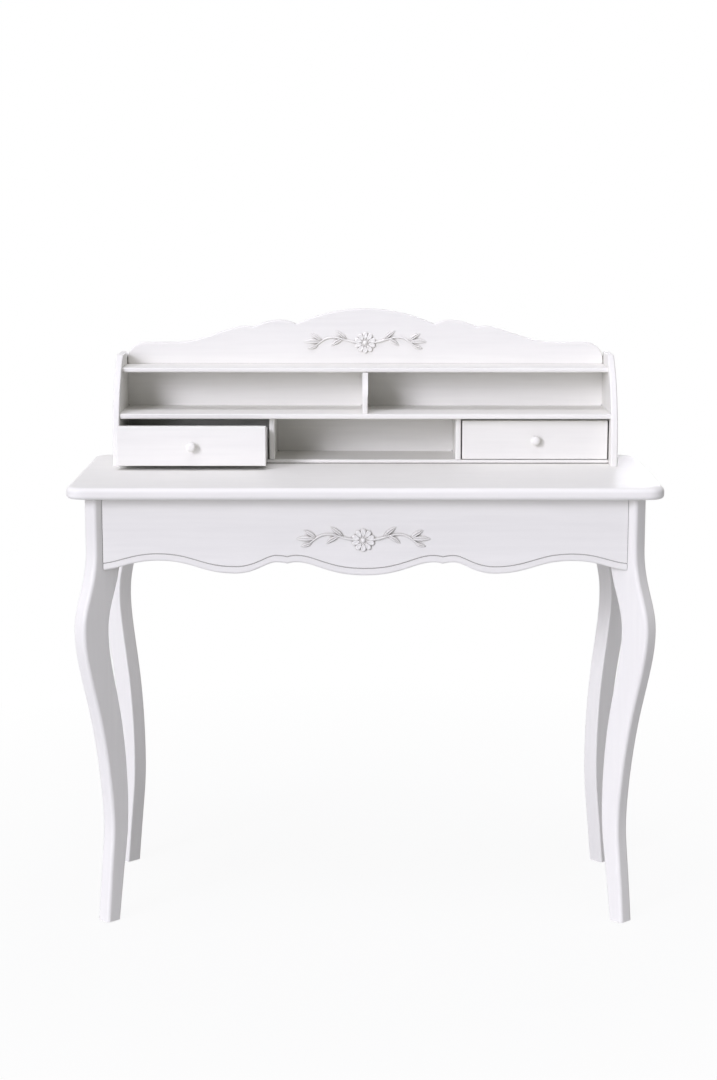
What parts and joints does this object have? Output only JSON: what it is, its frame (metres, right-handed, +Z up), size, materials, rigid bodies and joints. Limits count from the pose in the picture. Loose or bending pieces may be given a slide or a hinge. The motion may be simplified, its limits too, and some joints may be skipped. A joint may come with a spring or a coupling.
{
  "type": "writing desk with hutch",
  "caption": "White painted writing desk on curved legs, with a scalloped apron, a shelved hutch, small knobbed drawers and a carved crest board.",
  "frame": {"origin": "on the floor under the middle of the tabletop", "axes": "+Z up, -Y towards the sitter at the front, +X to the right seen from the front"},
  "size_m": [1, 0.435, 1.041],
  "materials": {
    "white_paint": "satin white paint over smooth board",
    "drawer_board": "matte white coated board",
    "bare_wood": "bare sawn softwood",
    "dowel_wood": "bare beech",
    "steel": "zinc plated",
    "glide_plastic": "moulded"
  },
  "bodies": {
    "desk": {"apron_back": "white_paint", "apron_front": "white_paint", "apron_left": "white_paint", "apron_right": "white_paint", "apron_spray": "white_paint", "back_panel_screws": "steel", "corner_brace_back_left": "bare_wood", "corner_brace_back_right": "bare_wood", "corner_brace_front_left": "bare_wood", "corner_brace_front_right": "bare_wood", "crest_board": "white_paint", "crest_spray": "white_paint", "foot_glides": "glide_plastic", "hutch_back_panel": "white_paint", "hutch_base_board": "white_paint", "hutch_divider_left": "white_paint", "hutch_divider_right": "white_paint", "hutch_divider_upper": "white_paint", "hutch_middle_shelf": "white_paint", "hutch_pins": "dowel_wood", "hutch_screws": "steel", "hutch_side_left": "white_paint", "hutch_side_right": "white_paint", "hutch_top_shelf": "white_paint", "leg_back_left": "white_paint", "leg_back_right": "white_paint", "leg_bolt_nuts": "steel", "leg_bolt_washers": "steel", "leg_bolts": "steel", "leg_front_left": "white_paint", "leg_front_right": "white_paint", "tabletop": "white_paint", "tabletop_screws": "steel"},
    "drawer_left": {"drawer_left_back": "drawer_board", "drawer_left_bottom": "drawer_board", "drawer_left_front": "white_paint", "drawer_left_knob": "white_paint", "drawer_left_knob_screw": "steel", "drawer_left_side_left": "drawer_board", "drawer_left_side_right": "drawer_board"},
    "drawer_right": {"drawer_right_back": "drawer_board", "drawer_right_bottom": "drawer_board", "drawer_right_front": "white_paint", "drawer_right_knob": "white_paint", "drawer_right_knob_screw": "steel", "drawer_right_side_left": "drawer_board", "drawer_right_side_right": "drawer_board"}
  },
  "joints": [
    {"name": "drawer_left_slide", "type": "slide", "parent": "desk", "child": "drawer_left", "axis": [0, -1, 0], "range_m": [-0.092, 0.008]},
    {"name": "drawer_right_slide", "type": "slide", "parent": "desk", "child": "drawer_right", "axis": [0, -1, 0], "range_m": [0, 0.1]}
  ]
}
